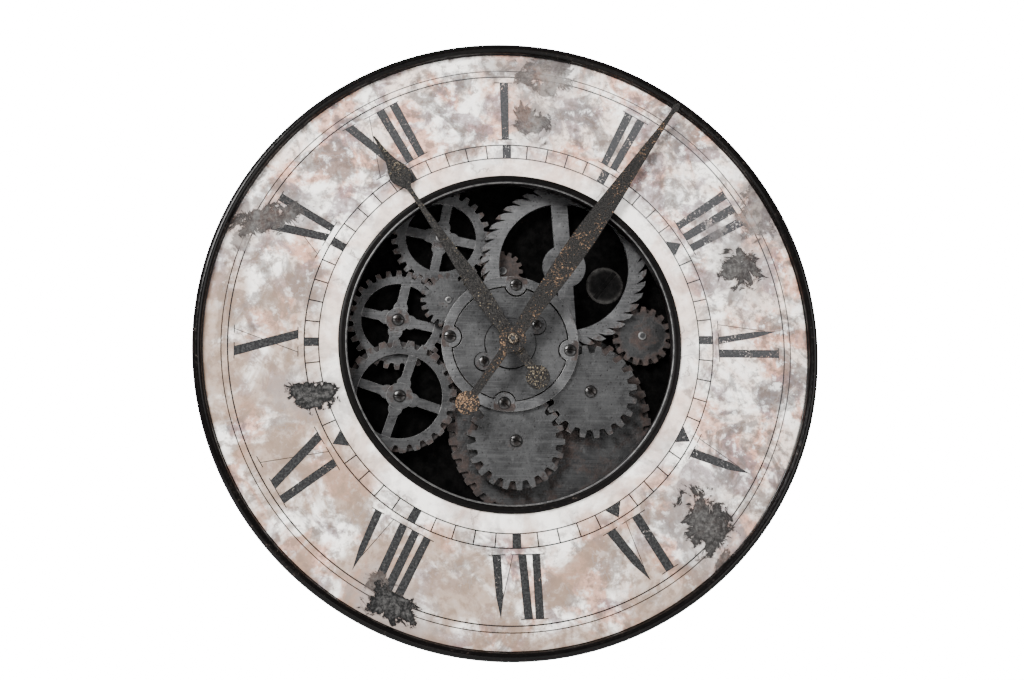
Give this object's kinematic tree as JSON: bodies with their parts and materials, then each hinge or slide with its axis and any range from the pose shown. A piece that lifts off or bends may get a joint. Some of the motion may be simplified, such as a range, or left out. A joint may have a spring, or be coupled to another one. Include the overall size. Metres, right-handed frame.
{
  "type": "skeleton wall clock",
  "caption": "Round wall clock with a ring dial, an open centre showing free-turning toothed wheels, two lance hands and a movement that hangs on a keyhole plate.",
  "frame": {"origin": "on the wall's plane, at the hook in the narrow end of the hanger plate's keyhole", "axes": "front of the dial faces -Y, the wall is at y = 0 and lies along X and Z, the numeral at the top of the dial stands up +Z, +X to the reader's right"},
  "size_m": [0.609, 0.0721, 0.609],
  "materials": {
    "case_black": "worn satin black enamel on spun sheet steel",
    "dial_plaster": "fibreboard with a cracked plaster-like skin and printed numerals",
    "gun_metal": "blackened steel plate, pitted, rust at the edges",
    "dark_steel": "dark plain steel",
    "rusty_steel": "steel plate, brown all over with rust",
    "hand_black": "black paint worn through to coppery speckle",
    "brass": "dull brass",
    "cast_back": "rough near-black paint on sheet steel",
    "black_plastic": "moulded, fine texture",
    "rubber": "soft, matt",
    "cell_jacket": "plain printed steel jacket"
  },
  "bodies": {
    "case": {"rim_ring": "case_black", "dial_plate": "dial_plaster", "opening_bezel": "case_black", "drum_wall": "case_black", "back_plate": "cast_back", "back_plate_screw": "cast_back", "base_wheel": "rusty_steel", "upper_wheel_stud": "dark_steel", "middle_wheel_stud": "dark_steel", "lower_wheel_stud": "dark_steel", "left_pinion_stud": "dark_steel", "right_pinion_stud": "dark_steel", "right_wheel_stud": "dark_steel", "bottom_wheel_stud": "dark_steel", "rear_pinion_stud": "dark_steel", "saw_wheel_stud": "dark_steel", "middle_wheel_screw": "dark_steel", "lower_wheel_screw": "dark_steel", "right_wheel_screw": "dark_steel", "bottom_wheel_screw": "dark_steel", "centre_ring": "gun_metal", "centre_disc": "gun_metal", "centre_cover": "gun_metal", "ring_screw_1": "dark_steel", "ring_screw_2": "dark_steel", "ring_screw_3": "dark_steel", "ring_screw_4": "dark_steel", "cover_screw_1": "dark_steel", "cover_screw_2": "dark_steel", "pillar_1": "dark_steel", "pillar_2": "dark_steel", "pillar_3": "dark_steel", "centre_tube": "brass", "movement_front": "black_plastic", "movement_back": "black_plastic", "battery_cell": "cell_jacket", "dial_clip_1": "dark_steel", "dial_clip_2": "dark_steel", "dial_clip_3": "dark_steel", "dial_clip_4": "dark_steel", "hanger_plate": "dark_steel", "bumper_left": "rubber", "bumper_right": "rubber"},
    "minute_work": {"minute_hand": "hand_black", "hand_nut": "brass", "minute_arbor": "dark_steel"},
    "hour_work": {"hour_hand": "hand_black", "hour_pipe": "brass"},
    "setting_knob": {"setting_knob": "black_plastic"},
    "upper_wheel": {"upper_wheel": "gun_metal"},
    "middle_wheel": {"middle_wheel": "gun_metal"},
    "lower_wheel": {"lower_wheel": "gun_metal"},
    "left_pinion": {"left_pinion": "gun_metal"},
    "right_pinion": {"right_pinion": "rusty_steel"},
    "right_wheel": {"right_wheel": "gun_metal"},
    "bottom_wheel": {"bottom_wheel": "gun_metal"},
    "rear_pinion": {"rear_pinion": "rusty_steel"},
    "saw_wheel": {"saw_wheel": "gun_metal"}
  },
  "joints": [
    {"name": "minute_spin", "type": "hinge", "parent": "case", "child": "minute_work", "pos_m": [0, -0.0678, -0.27], "axis": [0, 1, 0], "continuous": true},
    {"name": "hour_spin", "type": "hinge", "parent": "case", "child": "hour_work", "pos_m": [0, -0.0646, -0.27], "axis": [0, 1, 0], "continuous": true},
    {"name": "knob_spin", "type": "hinge", "parent": "case", "child": "setting_knob", "pos_m": [0, -0.006, -0.288], "axis": [0, 1, 0], "continuous": true},
    {"name": "upper_wheel_spin", "type": "hinge", "parent": "case", "child": "upper_wheel", "pos_m": [-0.0682, -0.0292, -0.1607], "axis": [0, 1, 0], "continuous": true},
    {"name": "middle_wheel_spin", "type": "hinge", "parent": "case", "child": "middle_wheel", "pos_m": [-0.1098, -0.0292, -0.2456], "axis": [0, 1, 0], "continuous": true},
    {"name": "lower_wheel_spin", "type": "hinge", "parent": "case", "child": "lower_wheel", "pos_m": [-0.1072, -0.0345, -0.3224], "axis": [0, 1, 0], "continuous": true},
    {"name": "left_pinion_spin", "type": "hinge", "parent": "case", "child": "left_pinion", "pos_m": [-0.0609, -0.0397, -0.2269], "axis": [0, 1, 0], "continuous": true},
    {"name": "right_pinion_spin", "type": "hinge", "parent": "case", "child": "right_pinion", "pos_m": [0.1342, -0.0292, -0.2567], "axis": [0, 1, 0], "continuous": true},
    {"name": "right_wheel_spin", "type": "hinge", "parent": "case", "child": "right_wheel", "pos_m": [0.0798, -0.0397, -0.3158], "axis": [0, 1, 0], "continuous": true},
    {"name": "bottom_wheel_spin", "type": "hinge", "parent": "case", "child": "bottom_wheel", "pos_m": [0.0061, -0.0397, -0.3654], "axis": [0, 1, 0], "continuous": true},
    {"name": "rear_pinion_spin", "type": "hinge", "parent": "case", "child": "rear_pinion", "pos_m": [-0.0058, -0.0242, -0.192], "axis": [0, 1, 0], "continuous": true},
    {"name": "saw_wheel_spin", "type": "hinge", "parent": "case", "child": "saw_wheel", "pos_m": [0.0551, -0.0345, -0.1885], "axis": [0, 1, 0], "continuous": true}
  ],
  "couplings": [
    {"joint": "hour_spin", "follows": "minute_spin", "ratio": 0.083333},
    {"joint": "knob_spin", "follows": "minute_spin", "ratio": -1},
    {"joint": "middle_wheel_spin", "follows": "upper_wheel_spin", "ratio": -1},
    {"joint": "right_wheel_spin", "follows": "bottom_wheel_spin", "ratio": -1.05}
  ]
}
